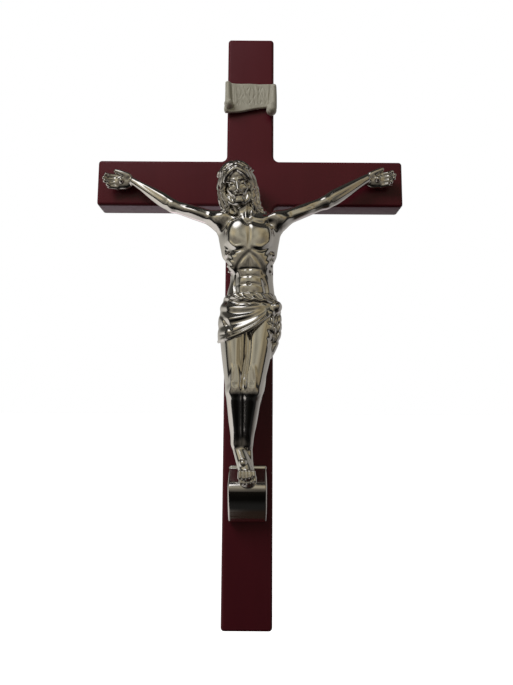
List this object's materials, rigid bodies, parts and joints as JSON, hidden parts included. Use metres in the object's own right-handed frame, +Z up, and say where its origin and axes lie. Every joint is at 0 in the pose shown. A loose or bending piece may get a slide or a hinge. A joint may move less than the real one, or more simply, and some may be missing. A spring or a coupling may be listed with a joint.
{
  "type": "wall crucifix",
  "caption": "Plain wooden wall cross with eased edges, carrying a bright cast figure that stands on a wedge footrest, and a small cast scroll above the head.",
  "frame": {"origin": "on the flat back, where the centre lines of the upright and the arms cross", "axes": "+Z up along the upright, +X towards the right arm as the viewer sees it, +Y out of the back into the wall; the figure faces -Y"},
  "size_m": [0.158, 0.035, 0.3],
  "materials": {
    "red_wood": "satin dark red stain",
    "bright_metal": "polished plating",
    "dull_metal": "dull cast grey"
  },
  "bodies": {
    "root": {"cross": "red_wood", "corpus": "bright_metal", "titulus": "dull_metal"}
  },
  "joints": []
}
